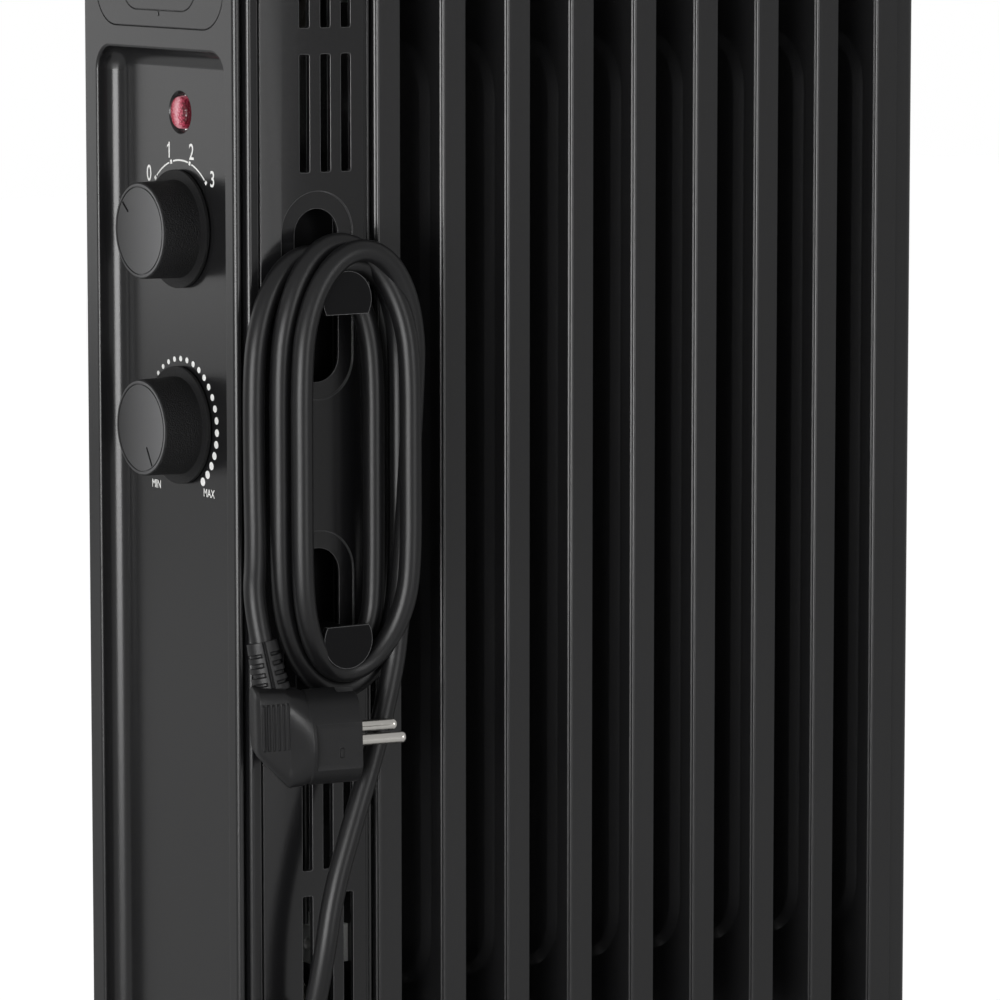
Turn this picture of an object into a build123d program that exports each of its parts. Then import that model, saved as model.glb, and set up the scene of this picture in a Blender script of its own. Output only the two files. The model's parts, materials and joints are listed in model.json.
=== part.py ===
from build123d import *
import os
from math import cos, pi, radians, sin, tan

os.makedirs("parts", exist_ok=True)

# Oil filled radiator heater. Millimetres, +Z up, floor at Z = 0.
# X runs along the row of fins: the control panel faces -X and the closed end faces +X.
# The cord winder is on the -Y side. The origin is on the floor under the middle of the object.

# ---- driving dimensions ----
body_half = 62.5            # half the depth across the fins and the housing covers
panel_x = -168.0            # front face of the control panel
rear_x = 181.0              # outer face of the rear cover

fin_count = 9
fin_pitch = 32.45
first_fin_x = -101.0        # leading face of the first fin
fin_base_z = 92.0
fin_height = 500.0
fin_corner = 14.0
sheet = 1.0                 # steel sheet that the fins are pressed from
fold_width = 11.2           # edge of a fin, folded over to face sideways
fold_thickness = 1.2
bulge = 2.6                 # height of the pressed oil channel above the flat web
bulge_slope = 58.0
hem_width = 3.4             # margin of a fin where its two sheets are rolled together
hem_step = 0.5
hem_slope = 40.0
channel_width = 106.0
channel_height = 400.0
boss_radius = 27.0
boss_inset = 34.0           # manifold axis from the top or bottom edge of a fin
oil_hole = 17.0
collar_radius = 22.0

housing_bottom = 80.0
housing_top = 632.0
housing_corner = 18.0
frame_wall = 5.0
cover_thickness = 2.5
cover_camber = 1.2          # fall of a side cover from its middle to its upright edges
lip_front = -163.4          # front of the frame's lip
cover_front = -157.0
cover_back = -106.4
cover_base_z = 98.0
cover_top_z = 612.0
shield_x = -104.6           # housing side of the heat shield

panel_inset = 2.75
panel_plate = 2.7
dial_y = -1.5               # middle of everything on the panel
recess_width = 100.5
recess_base_z = 112.0
recess_top_z = 539.0
recess_depth = 10.0
power_z = 465.0
thermostat_z = 383.5
lamp_z = 513.0

knob_length = 17.4
knob_radius = 20.3
skirt_radius = 24.5
skirt_thickness = 1.8
shaft_radius = 3.0
running_gap = 0.05
power_rest = -50.0          # pointers at rest, clockwise from straight up
thermostat_rest = 150.0

winder_x = -129.9           # middle of the two hooks
opening_centres = (300.8, 440.2)
opening_height = 71.0
opening_width = 21.0
rim_height = 85.4
rim_width = 34.5
rim_depth = 1.4
hook_reach = 22.0           # how far the hooks stand out of the side cover
pocket_depth = 14.0         # the hooks stand in a pocket behind the side cover
pocket_wall = 2.0
vent_width = 4.9
vent_height = 48.0
vent_pitch_x = 10.1
vent_pitch_z = 58.6

cord_radius = 4.5
coil_centre = (-132.7, 372.0)
coil_width = 81.5
coil_height = 189.0

wheel_radius = 22.0
wheel_width = 18.0
castor_trail = 14.0
castor_y = 106.0
axle_radius = 3.0
foot_half = 120.0
foot_sheet = 2.0
foot_plate_z = 62.0         # underside of a foot's outer ends
foot_width = 40.0
foot_centres = (-81.5, 143.5)

# ---- sizes worked out from them ----
fin_middle_z = fin_base_z + fin_height / 2
manifold_z = (fin_base_z + boss_inset, fin_base_z + fin_height - boss_inset)
fin_xs = [first_fin_x + fin_pitch * i for i in range(fin_count)]
web = 2 * sheet
housing_middle_z = (housing_bottom + housing_top) / 2
housing_height = housing_top - housing_bottom
floor_x = panel_x + recess_depth        # floor of the panel's recess
floor_back = floor_x + 2.5
cover_middle = (cover_front + cover_back) / 2
cover_middle_z = (cover_base_z + cover_top_z) / 2


def save(piece, name):
    """Label a finished piece and write its STEP file."""
    piece.part.label = name
    export_step(piece.part, f"parts/{name}.step")


def facing_front(x, y, z):
    """A plane at a point, looking out of the control panel, with its own y up."""
    return Plane(origin=(x, y, z), x_dir=(0, -1, 0), z_dir=(-1, 0, 0))


def rounded_block(plane, centre, size, corner, depth, mode=Mode.ADD):
    """Extrude a rounded rectangle from a plane."""
    with BuildSketch(plane) as outline:
        with Locations(centre):
            RectangleRounded(*size, corner)
    extrude(outline.sketch, amount=depth, mode=mode)


def rod(plane, radius, length, mode=Mode.ADD):
    """Extrude a circle from the middle of a plane."""
    with BuildSketch(plane) as outline:
        Circle(radius)
    extrude(outline.sketch, amount=length, mode=mode)


# ---- radiator core ----
def channel(shrink):
    """The oil channel seen along X: a wide middle, round bosses and two spot-welded slots."""
    boss_span = manifold_z[1] - manifold_z[0] + 2 * (boss_radius - shrink)
    with Locations((0, fin_middle_z)):
        RectangleRounded(channel_width - 2 * shrink, channel_height - 2 * shrink, 24 - shrink)
        SlotOverall(boss_span, 2 * (boss_radius - shrink), rotation=90)
    with Locations((-19, fin_middle_z), (19, fin_middle_z)):
        SlotOverall(250 + 2 * shrink, 9 + 2 * shrink, rotation=90, mode=Mode.SUBTRACT)


def press_channel(x, way):
    """Raise the oil channel from one face of a fin, hollow behind. way is 1 towards +X."""
    with BuildSketch(Plane.YZ.offset(x + sheet + way * sheet)) as outside:
        channel(0)
    extrude(outside.sketch, amount=way * bulge, taper=bulge_slope)
    with BuildSketch(Plane.YZ.offset(x + sheet)) as inside:
        channel(sheet)
    extrude(inside.sketch, amount=way * bulge, taper=bulge_slope, mode=Mode.SUBTRACT)


def make_fin(x, front_bulge):
    """One fin: two pressed sheets seamed together, hollow inside, with folded edges."""
    straight = fin_height - 2 * fin_corner - 4
    with BuildPart() as fin:
        outline = (2 * body_half, fin_height)
        rounded_block(Plane.YZ.offset(x), (0, fin_middle_z), outline, fin_corner, web)
        with BuildSketch(Plane.YZ.offset(x)):
            with Locations((0, fin_middle_z)):
                with GridLocations(2 * body_half - fold_thickness, 0, 2, 1):
                    Rectangle(fold_thickness, straight)
        extrude(amount=fold_width)
        leading = fin.edges().filter_by(Axis.Z).group_by(Axis.X)[0]
        fillet(leading, fold_thickness - 0.1)
        with BuildSketch(Plane.YZ.offset(x)):
            with Locations((0, fin_middle_z)):
                with GridLocations(2 * (body_half - fold_thickness) - hem_width, 0, 2, 1):
                    Rectangle(hem_width, straight)
        extrude(amount=-hem_step, taper=hem_slope)
        press_channel(x, 1)
        if front_bulge:
            press_channel(x, -1)
        with BuildSketch(Plane.YZ.offset(x + sheet)):
            with Locations((0, manifold_z[0]), (0, manifold_z[1])):
                Circle(oil_hole)
        extrude(amount=bulge + web, both=True, mode=Mode.SUBTRACT)
    return fin


for number, x in enumerate(fin_xs, start=1):
    fin = make_fin(x, front_bulge=number > 1)
    save(fin, f"fin_{number}")

collar_length = fin_pitch - web - 2 * bulge
for name, z in zip(("lower_collars", "upper_collars"), manifold_z):
    with BuildPart() as collars:
        for x in fin_xs[:-1]:
            with BuildSketch(Plane.YZ.offset(x + web + bulge)):
                with Locations((0, z)):
                    Circle(collar_radius)
                    Circle(oil_hole, mode=Mode.SUBTRACT)
            extrude(amount=collar_length)
    save(collars, name)

core_end = fin_xs[-1] + web + bulge
with BuildPart() as manifold_caps:
    for z in manifold_z:
        rod(Plane(origin=(core_end, 0, z), x_dir=(0, 1, 0), z_dir=(1, 0, 0)), 20, 3)
    fillet(manifold_caps.faces().filter_by(Axis.X).group_by(Axis.X)[-1].edges(), 2)
save(manifold_caps, "manifold_caps")

element_z = manifold_z[0]
spigot_end = first_fin_x + 2
with BuildPart() as element_flange:
    rod(facing_front(spigot_end, 0, element_z), oil_hole - 0.4, 2)
    rod(facing_front(first_fin_x, 0, element_z), 21, 5)
    with BuildSketch(facing_front(first_fin_x - 5, 0, element_z)):
        RegularPolygon(17, 6)
    extrude(amount=7)
    with BuildSketch(facing_front(first_fin_x - 12, 0, element_z)):
        with GridLocations(12, 12, 2, 2):
            Circle(1.8)
    extrude(amount=10)
save(element_flange, "element_flange")

with BuildPart() as heating_elements:
    for level, reach in ((6, 196), (-6, 132)):
        with BuildLine(Plane.XY.offset(element_z + level)) as hairpin:
            Line((spigot_end, 6), (spigot_end + reach, 6))
            CenterArc((spigot_end + reach, 0), 6, 90, -180)
            Line((spigot_end + reach, -6), (spigot_end, -6))
        with BuildSketch(Plane(origin=(spigot_end, 6, element_z + level), z_dir=(1, 0, 0))):
            Circle(3.3)
        sweep(path=hairpin.wires()[0])
save(heating_elements, "heating_elements")

with BuildPart() as oil_filler_plug:
    rod(facing_front(first_fin_x + 3, 0, manifold_z[1]), oil_hole - 0.4, 3)
    rod(facing_front(first_fin_x, 0, manifold_z[1]), 20, 2)
    with BuildSketch(facing_front(first_fin_x - 2, 0, manifold_z[1])):
        RegularPolygon(13, 6)
    extrude(amount=8)
    chamfer(oil_filler_plug.faces().sort_by(Axis.X)[0].edges(), 1)
save(oil_filler_plug, "oil_filler_plug")

rear_front = fin_xs[-1] + fold_width + 0.6
with BuildPart() as rear_cover:
    plane = Plane.YZ.offset(rear_front)
    size = (2 * (body_half - 1.5), fin_height - 3)
    rounded_block(plane, (0, fin_middle_z), size, fin_corner, rear_x - rear_front)
    fillet(rear_cover.faces().sort_by(Axis.X)[-1].edges(), 4)
    inner = (size[0] - 3, size[1] - 3)
    rounded_block(plane, (0, fin_middle_z), inner, fin_corner - 1.5, rear_x - rear_front - 3.5, Mode.SUBTRACT)
    dished = (size[0] - 36, size[1] - 60)
    rounded_block(Plane.YZ.offset(rear_x), (0, fin_middle_z), dished, 20, -2, Mode.SUBTRACT)
    dish = rear_cover.faces().filter_by(Axis.X).filter_by_position(Axis.X, rear_x - 2.1, rear_x - 1.9)
    fillet(dish.edges(), 1.6)
save(rear_cover, "rear_cover")

# ---- housing ----
with BuildPart() as heat_shield:
    plane = Plane.YZ.offset(shield_x)
    size = (2 * body_half - 4, housing_height - 4)
    rounded_block(plane, (0, housing_middle_z), size, housing_corner, sheet)
    with BuildSketch(plane):
        with Locations((0, manifold_z[0]), (0, manifold_z[1])):
            Circle(24)
        with Locations((0, fin_middle_z)):
            with GridLocations(90, 440, 2, 2):
                Circle(2.2)
    extrude(amount=sheet, mode=Mode.SUBTRACT)
save(heat_shield, "heat_shield")

with BuildPart() as shield_studs:
    for y in (-45, 45):
        for z in (fin_middle_z - 220, fin_middle_z + 220):
            rod(facing_front(first_fin_x, y, z), 2, 9)
            rod(facing_front(shield_x + sheet + 2.5, y, z), 3.2, 2.5)
            with BuildSketch(facing_front(shield_x, y, z)):
                RegularPolygon(4, 6)
            extrude(amount=3.2)
save(shield_studs, "shield_studs")

cover_screw_places = [(cover_back - 8, cover_base_z + 6), (cover_back - 8, cover_top_z - 6)]
handle_screw_places = [(winder_x, -41), (winder_x, 41)]
gland_x = -147.5
gland_z = 112.0
gland_hole = 9.6
side_signs = (-1, 1)
screw_seat_depth = 1.0

with BuildPart() as housing_frame:
    plane = Plane.YZ.offset(lip_front)
    depth = shield_x - lip_front
    outline = (2 * body_half, housing_height)
    inner = (outline[0] - 2 * frame_wall, outline[1] - 2 * frame_wall)
    rounded_block(plane, (0, housing_middle_z), outline, housing_corner, depth)
    front_edge = housing_frame.faces().sort_by(Axis.X)[0].edges()
    fillet(front_edge, 1.6)
    rounded_block(plane, (0, housing_middle_z), inner, housing_corner - frame_wall, depth, Mode.SUBTRACT)
    for side in side_signs:
        with BuildSketch(Plane.XZ.offset(-side * body_half)):
            with Locations(((cover_front - 1.6 + shield_x) / 2, cover_middle_z)):
                Rectangle(shield_x - cover_front + 1.6, cover_top_z - cover_base_z + 1)
        extrude(amount=side * cover_thickness, mode=Mode.SUBTRACT)
        with BuildSketch(Plane.XZ.offset(-side * body_half)):
            with Locations((winder_x, cover_middle_z + 6)):
                Rectangle(40, cover_top_z - cover_base_z - 36)
        extrude(amount=side * frame_wall, mode=Mode.SUBTRACT)
        with BuildSketch(Plane.XZ.offset(-side * body_half)):
            with Locations(*cover_screw_places):
                Circle(1.6)
        extrude(amount=side * frame_wall, mode=Mode.SUBTRACT)
    with BuildSketch(Plane.XZ.offset(body_half)):
        with Locations((gland_x, gland_z)):
            Circle(gland_hole)
    extrude(amount=-frame_wall, mode=Mode.SUBTRACT)
    with BuildSketch(Plane.XY.offset(housing_top)):
        with Locations(*handle_screw_places):
            Circle(2.2)
    extrude(amount=-frame_wall, mode=Mode.SUBTRACT)
save(housing_frame, "housing_frame")


def cover_plate(side):
    """A cambered side cover blank. side is -1 for the cord side and 1 for the other."""
    edge_y = side * (body_half - cover_camber)
    inner_y = side * (body_half - cover_thickness)
    with BuildSketch(Plane.XY.offset(cover_base_z)) as profile:
        with BuildLine():
            ThreePointArc((cover_front, edge_y), (cover_middle, side * body_half), (cover_back, edge_y))
            Polyline((cover_back, edge_y), (cover_back, inner_y), (cover_front, inner_y), (cover_front, edge_y))
        make_face()
    extrude(profile.sketch, amount=cover_top_z - cover_base_z)


def cut_vents(side, centres):
    """Rows of three upright vent slots through a side cover."""
    with BuildSketch(Plane.XZ.offset(-side * body_half)) as vents:
        for z in centres:
            with Locations((winder_x + 3.9, z)):
                with GridLocations(vent_pitch_x, 0, 3, 1):
                    RectangleRounded(vent_width, vent_height, 0.9)
    extrude(vents.sketch, amount=side * cover_thickness, mode=Mode.SUBTRACT)


def cut_screw_holes(side):
    """Clearance holes for the screws at the ends of a side cover."""
    with BuildSketch(Plane.XZ.offset(-side * body_half)) as holes:
        with Locations(*cover_screw_places):
            Circle(1.8)
    extrude(holes.sketch, amount=side * cover_thickness, mode=Mode.SUBTRACT)
    with BuildSketch(Plane.XZ.offset(-side * body_half)) as seats:
        with Locations(*cover_screw_places):
            Circle(3.8)
    extrude(seats.sketch, amount=side * screw_seat_depth, mode=Mode.SUBTRACT)


middle_row = sum(opening_centres) / 2
upper_rows = [middle_row + 144.0, middle_row + 144.0 + vent_pitch_z]
lower_rows = [middle_row - 144.0, middle_row - 144.0 - vent_pitch_z]

with BuildPart() as side_cover_cord:
    cover_plate(-1)
    fillet(side_cover_cord.faces().sort_by(Axis.Y)[0].edges(), 0.8)
    cut_vents(-1, upper_rows + lower_rows)
    cut_screw_holes(-1)
    outer = Plane.XZ.offset(body_half)
    for z in opening_centres:
        with BuildSketch(outer):
            with Locations((winder_x, z)):
                SlotOverall(rim_height, rim_width, rotation=90)
        extrude(amount=-rim_depth, mode=Mode.SUBTRACT)
        with BuildSketch(outer):
            with Locations((winder_x, z)):
                SlotOverall(opening_height, opening_width, rotation=90)
        extrude(amount=-cover_thickness, mode=Mode.SUBTRACT)
    with BuildSketch(outer):
        with Locations((gland_x, gland_z)):
            Circle(gland_hole)
    extrude(amount=-cover_thickness, mode=Mode.SUBTRACT)
save(side_cover_cord, "side_cover_cord")

plain_rows = [middle_row + vent_pitch_z * (row + 0.5) for row in range(-4, 4)]
with BuildPart() as side_cover_plain:
    cover_plate(1)
    fillet(side_cover_plain.faces().sort_by(Axis.Y)[-1].edges(), 0.8)
    cut_vents(1, plain_rows)
    cut_screw_holes(1)
save(side_cover_plain, "side_cover_plain")

with BuildPart() as cover_screws:
    for side in side_signs:
        for x, z in cover_screw_places:
            seat_y = side * (body_half - screw_seat_depth)
            head = Plane(origin=(x, seat_y, z), x_dir=(1, 0, 0), z_dir=(0, side, 0))
            rod(head, 3.4, 1.6)
            rod(head, 1.4, -5.5)
            with BuildSketch(head.offset(1.6)):
                Rectangle(4, 0.8)
                Rectangle(0.8, 4)
            extrude(amount=-0.9, mode=Mode.SUBTRACT)
save(cover_screws, "cover_screws")

badge_size = (100.7, 60.0)
badge_z = 548.0 + badge_size[1] / 2
with BuildPart() as front_panel:
    plane = Plane.YZ.offset(panel_x)
    face = (2 * (body_half - panel_inset), housing_height - 2 * panel_inset)
    corner = housing_corner - panel_inset
    rounded_block(plane, (0, housing_middle_z), face, corner, panel_plate)
    fillet(front_panel.faces().sort_by(Axis.X)[0].edges(), 2)
    skirt = (2 * (body_half - frame_wall) - 1.2, housing_height - 2 * frame_wall - 1.2)
    rounded_block(plane.offset(panel_plate), (0, housing_middle_z), skirt, 12, 7.3)
    hollow = (skirt[0] - 5, skirt[1] - 5)
    rounded_block(plane.offset(panel_plate), (0, housing_middle_z), hollow, 10, 7.3, Mode.SUBTRACT)
    pan_middle = (recess_base_z + recess_top_z) / 2
    pan_height = recess_top_z - recess_base_z
    pan = (recess_width + 6, pan_height + 6)
    recess = (recess_width, pan_height)
    rounded_block(plane.offset(1), (dial_y, pan_middle), pan, 12, floor_back - panel_x - 1)
    rounded_block(plane, (dial_y, pan_middle), recess, 10, recess_depth, Mode.SUBTRACT)
    flats = front_panel.faces().filter_by(Axis.X)
    recess_floor = flats.filter_by_position(Axis.X, floor_x - 0.1, floor_x + 0.1)
    fillet(recess_floor.sort_by(SortBy.AREA)[-1].edges(), 7.5)
    rim = front_panel.faces().filter_by(Axis.X).sort_by(Axis.X)[0].inner_wires()[0].edges()
    fillet(rim, 1.2)
    rounded_block(plane, (dial_y, badge_z), badge_size, 16, 1.6, Mode.SUBTRACT)
    for z in (power_z, thermostat_z):
        rod(facing_front(floor_back, dial_y, z), 5, 3, Mode.SUBTRACT)
    rod(facing_front(floor_back, dial_y, lamp_z), 7.4, 3, Mode.SUBTRACT)
    with BuildSketch(facing_front(floor_x, dial_y, lamp_z)):
        Circle(8.9)
    extrude(amount=-1.6, taper=40, mode=Mode.SUBTRACT)
save(front_panel, "front_panel")

with BuildPart() as badge_plate:
    plane = Plane.YZ.offset(panel_x)
    size = (badge_size[0] - 0.6, badge_size[1] - 0.6)
    rounded_block(plane, (dial_y, badge_z), size, 15.7, 1.5)
    fillet(badge_plate.faces().sort_by(Axis.X)[0].edges(), 0.3)
    with BuildSketch(plane):
        with Locations((dial_y, badge_z)):
            RectangleRounded(59.6, 46, 12)
            RectangleRounded(58.8, 45.2, 11.6, mode=Mode.SUBTRACT)
        with Locations((dial_y, badge_z - 24)):
            Rectangle(1.2, 2)
    extrude(amount=0.7, mode=Mode.SUBTRACT)
save(badge_plate, "badge_plate")

handle_length = 102.0
handle_height = 30.0
handle_width = 26.0
grip_opening = (70.0, 24.0)
with BuildPart() as carry_handle:
    with BuildSketch(Plane.YZ.offset(winder_x - handle_width / 2)):
        with Locations((0, housing_top + handle_height / 2)):
            Rectangle(handle_length, handle_height)
        with Locations((0, housing_top + 9)):
            RectangleRounded(*grip_opening, 8, mode=Mode.SUBTRACT)
        with Locations((0, housing_top - 5)):
            Rectangle(handle_length, 10, mode=Mode.SUBTRACT)
    extrude(amount=handle_width)
    top = carry_handle.faces().filter_by(Axis.Z).sort_by(Axis.Z)[-1]
    fillet(top.edges().filter_by(Axis.X), 12)
    for end in (0, -1):
        outline = carry_handle.faces().sort_by(Axis.X)[end].edges()
        above_foot = outline.filter_by_position(Axis.Z, housing_top + 0.5, housing_top + 2 * handle_height)
        fillet(above_foot, 3)
    with BuildSketch(Plane.XY.offset(housing_top)):
        with Locations(*handle_screw_places):
            Circle(1.9)
    extrude(amount=14, mode=Mode.SUBTRACT)
save(carry_handle, "carry_handle")

screw_seat = housing_top - frame_wall
with BuildPart() as handle_screws:
    with BuildSketch(Plane.XY.offset(screw_seat)):
        with Locations(*handle_screw_places):
            Circle(1.8)
    extrude(amount=frame_wall + 12)
    with BuildSketch(Plane.XY.offset(screw_seat)):
        with Locations(*handle_screw_places):
            Circle(3.4)
    extrude(amount=-2.4)
save(handle_screws, "handle_screws")

# ---- controls ----
knob_back = floor_x - 0.8
knob_face = knob_back - knob_length - skirt_thickness


def make_knob(z, pointer_angle, pointer_middle, pointer_length):
    """A control knob. pointer_angle is clockwise from straight up, seen from the front."""
    with BuildPart() as knob:
        rod(facing_front(knob_back, dial_y, z), skirt_radius, skirt_thickness)
        skirt_front = knob_back - skirt_thickness
        with BuildSketch(facing_front(skirt_front, dial_y, z)):
            Circle(knob_radius)
        extrude(amount=knob_length, taper=1.5)
        fillet(knob.faces().sort_by(Axis.X)[0].edges(), 0.9)
        fillet(knob.faces().sort_by(Axis.X)[-1].edges(), 0.6)
        with BuildSketch(facing_front(knob_face, dial_y, z)):
            Circle(knob_radius - 2.0)
            Circle(knob_radius - 2.5, mode=Mode.SUBTRACT)
        extrude(amount=-0.5, mode=Mode.SUBTRACT)
        with BuildSketch(facing_front(knob_back, dial_y, z)):
            Circle(knob_radius - 2.6)
            Circle(6.5, mode=Mode.SUBTRACT)
        extrude(amount=knob_length - 1.5, mode=Mode.SUBTRACT)
        rod(facing_front(knob_back, dial_y, z), shaft_radius + running_gap, knob_length - 3, Mode.SUBTRACT)
        with BuildSketch(facing_front(knob_face, dial_y, z)):
            with PolarLocations(pointer_middle, 1, start_angle=90 - pointer_angle):
                SlotOverall(pointer_length, 1.1)
        extrude(amount=-0.6, mode=Mode.SUBTRACT)
    return knob


def make_shaft(z):
    """The spindle that a knob turns, from inside its switch to inside the knob."""
    with BuildPart() as shaft:
        rod(facing_front(floor_back + 8, dial_y, z), shaft_radius, floor_back + 8 - knob_back + knob_length - 4)
    return shaft


save(make_knob(power_z, power_rest, 14.4, 6.2), "power_knob")
save(make_knob(thermostat_z, thermostat_rest, 13.2, 8.8), "thermostat_knob")
save(make_shaft(power_z), "switch_shaft")
save(make_shaft(thermostat_z), "thermostat_shaft")


def make_control_block(z, half_width, half_height, depth, blade_count):
    """A switch or thermostat body behind the panel, with a bore for its shaft and rear blades."""
    with BuildPart() as block:
        rounded_block(Plane.YZ.offset(floor_back), (dial_y, z), (2 * half_width, 2 * half_height), 3, depth)
        rod(facing_front(floor_back + 9, dial_y, z), shaft_radius + running_gap, 9, Mode.SUBTRACT)
        with BuildSketch(Plane.YZ.offset(floor_back + depth)):
            with Locations((dial_y, z)):
                with GridLocations(9, 0, blade_count, 1):
                    Rectangle(0.8, 6.3)
        extrude(amount=8)
    return block


save(make_control_block(power_z, 15, 17, 24, 3), "rotary_switch")
save(make_control_block(thermostat_z, 13, 16, 20, 2), "thermostat")

with BuildPart() as thermostat_sensor:
    bulb_top = 205.0
    with BuildLine() as capillary:
        FilletPolyline(
            (floor_back + 12, dial_y, thermostat_z - 16),
            (floor_back + 12, dial_y, thermostat_z - 60),
            (floor_back + 32, dial_y + 10, thermostat_z - 110),
            (floor_back + 32, dial_y + 10, bulb_top),
            radius=12,
        )
    with BuildSketch(Plane(origin=capillary.line @ 0, z_dir=capillary.line % 0)):
        Circle(1.2)
    sweep()
    with BuildSketch(Plane.XY.offset(bulb_top)):
        with Locations((floor_back + 32, dial_y + 10)):
            Circle(4)
    extrude(amount=-50)
save(thermostat_sensor, "thermostat_sensor")

lens_radius = 6.9
with BuildPart() as indicator_lens:
    rod(facing_front(floor_x + 6, dial_y, lamp_z), lens_radius, 7)
    with BuildSketch(facing_front(floor_x - 1, dial_y, lamp_z)):
        Circle(lens_radius)
    extrude(amount=1.2, taper=50)
save(indicator_lens, "indicator_lens")

with BuildPart() as indicator_lamp:
    rod(facing_front(floor_x + 6, dial_y, lamp_z), lens_radius, -12)
    with BuildSketch(Plane.YZ.offset(floor_x + 18)):
        with Locations((dial_y, lamp_z)):
            with GridLocations(7, 0, 2, 1):
                Rectangle(0.8, 4)
    extrude(amount=6)
save(indicator_lamp, "indicator_lamp")

thermal_y = 30.0
thermal_z = 330.0
with BuildPart() as thermal_cut_out:
    rod(facing_front(shield_x, thermal_y, thermal_z), 9, 3)
    rod(facing_front(shield_x - 3, thermal_y, thermal_z), 7, 5)
    with BuildSketch(facing_front(shield_x - 8, thermal_y, thermal_z)):
        with GridLocations(8, 0, 2, 1):
            Rectangle(0.8, 5)
    extrude(amount=6)
save(thermal_cut_out, "thermal_cut_out")

# The tip-over switch hangs a weight from a pivot along X, between two uprights.
inside_floor = housing_bottom + frame_wall
tip_x = -132.0
tip_y = 22.0
pivot_z = 124.0
with BuildPart() as tip_over_switch:
    with BuildSketch(Plane.XY.offset(inside_floor)):
        with Locations((tip_x, tip_y)):
            Rectangle(36, 44)
    extrude(amount=2.5)
    with BuildSketch(Plane.XY.offset(inside_floor)):
        with Locations((tip_x, tip_y)):
            with GridLocations(31, 0, 2, 1):
                Rectangle(3, 20)
    extrude(amount=pivot_z + 6 - inside_floor)
    rod(Plane.YZ.offset(tip_x - 14).shift_origin((tip_x - 14, tip_y, pivot_z)), 2, 28)
    with BuildSketch(Plane.XY.offset(pivot_z - 16)):
        with Locations((tip_x - 19.9, tip_y)):
            Rectangle(5.8, 18)
    extrude(amount=18)
save(tip_over_switch, "tip_over_switch")

with BuildPart() as tip_over_pendulum:
    middle = Plane.YZ.offset(tip_x - 4).shift_origin((tip_x - 4, tip_y, pivot_z))
    with BuildSketch(middle):
        Circle(5)
        with Locations((0, -10)):
            Rectangle(5, 16)
    extrude(amount=8)
    weight = Plane.YZ.offset(tip_x - 11).shift_origin((tip_x - 11, tip_y, pivot_z - 23))
    rod(weight, 9, 22)
    rod(middle.offset(-1), 2 + running_gap, 10, Mode.SUBTRACT)
save(tip_over_pendulum, "tip_over_pendulum")

terminal_z = 166.0
with BuildPart() as terminal_block:
    with BuildSketch(Plane.YZ.offset(shield_x)):
        with Locations((-26, terminal_z)):
            Rectangle(36, 16)
    extrude(amount=-16)
    with BuildSketch(Plane.YZ.offset(shield_x - 16)):
        with Locations((-26, terminal_z)):
            with GridLocations(12, 0, 3, 1):
                Circle(3)
    extrude(amount=6, mode=Mode.SUBTRACT)
save(terminal_block, "terminal_block")

wire_radius = 1.3
wire_routes = (
    [(-122, -38, 175), (-122, -38, 250), (-118, -16, 330), (-118, -10, 430), (-126, -10, 446)],
    [(-122, -26, 175), (-122, -26, 230), (-126, -20, 300), (-126, -14, 345), (-130, -10, 364)],
    [(-122, -14, 175), (-122, -12, 200), (-119, 20, 260), (-114, 28, 300), (-114, 28, 318)],
)
with BuildPart() as internal_wires:
    for route in wire_routes:
        with BuildLine() as wire:
            FilletPolyline(*route, radius=10)
        with BuildSketch(Plane(origin=wire.line @ 0, z_dir=wire.line % 0)):
            Circle(wire_radius)
        sweep()
save(internal_wires, "internal_wires")

# ---- cord winder ----
winder_outline = (37, 238)
with BuildPart() as cord_winder:
    back = Plane.XZ.offset(body_half - cover_thickness)
    middle = (winder_x, middle_row)
    hollow = (winder_outline[0] - 2 * pocket_wall, winder_outline[1] - 2 * pocket_wall)
    rounded_block(back, middle, winder_outline, 6, -pocket_depth)
    rounded_block(back, middle, hollow, 6 - pocket_wall, pocket_wall - pocket_depth, Mode.SUBTRACT)
    shank_end = cover_thickness + hook_reach - 2.5
    for z, up in ((opening_centres[0], -1), (opening_centres[1], 1)):
        for start, end, radius, cut in (
            (-pocket_depth + pocket_wall / 2, shank_end, 9.9, 3.5),
            (shank_end, shank_end + 2.5, 11.6, 6),
        ):
            with BuildSketch(back.offset(start)):
                with Locations((winder_x, z)):
                    Circle(radius)
                with Locations((winder_x, z - up * (cut + radius))):
                    Rectangle(2 * radius, 2 * radius, mode=Mode.SUBTRACT)
            extrude(amount=end - start)
save(cord_winder, "cord_winder")

# ---- mains cord ----
gland_face = -body_half
with BuildPart() as cord_gland:
    outlet = Plane(origin=(gland_x, gland_face, gland_z), x_dir=(1, 0, 0), z_dir=(0, -1, 0))
    rod(outlet, 13, 3)
    rod(outlet, gland_hole - 0.2, -frame_wall)
    rod(outlet.offset(-frame_wall), 11, -2.4)
    rod(outlet.offset(3), 9.5, 6)
    with Locations((gland_x, gland_face - 9, gland_z)):
        Sphere(9.5)
    boot_way = Vector(0.1, -0.2, 0.97).normalized()
    boot_root = Vector(gland_x, gland_face - 9, gland_z)
    with BuildSketch(Plane(origin=boot_root, z_dir=boot_way)):
        Circle(8.2)
    extrude(amount=36, taper=4)
save(cord_gland, "cord_gland")
cord_exit = boot_root + boot_way * 36

# Corners of the lead's route from its strain relief up to the winding.
tail_route = [
    tuple(cord_exit),
    tuple(boot_root + boot_way * 57),
    (-137.0, -83.0, 196.0),
    (-127.5, -83.0, 224.0),
    (-117.5, -82.5, 250.0),
    (-110.5, -81.0, 275.0),
    (-106.0, -80.0, 298.0),
]
relief_root = Vector(-164.6, -84.9, 272.0)
relief_tip = Vector(-168.6, -79.5, 303.0)
relief_way = (relief_tip - relief_root).normalized()
lead_route = [
    tuple(relief_tip),
    tuple(relief_tip + relief_way * 17),
    (-167.6, -74.0, 337.0),
]


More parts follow.
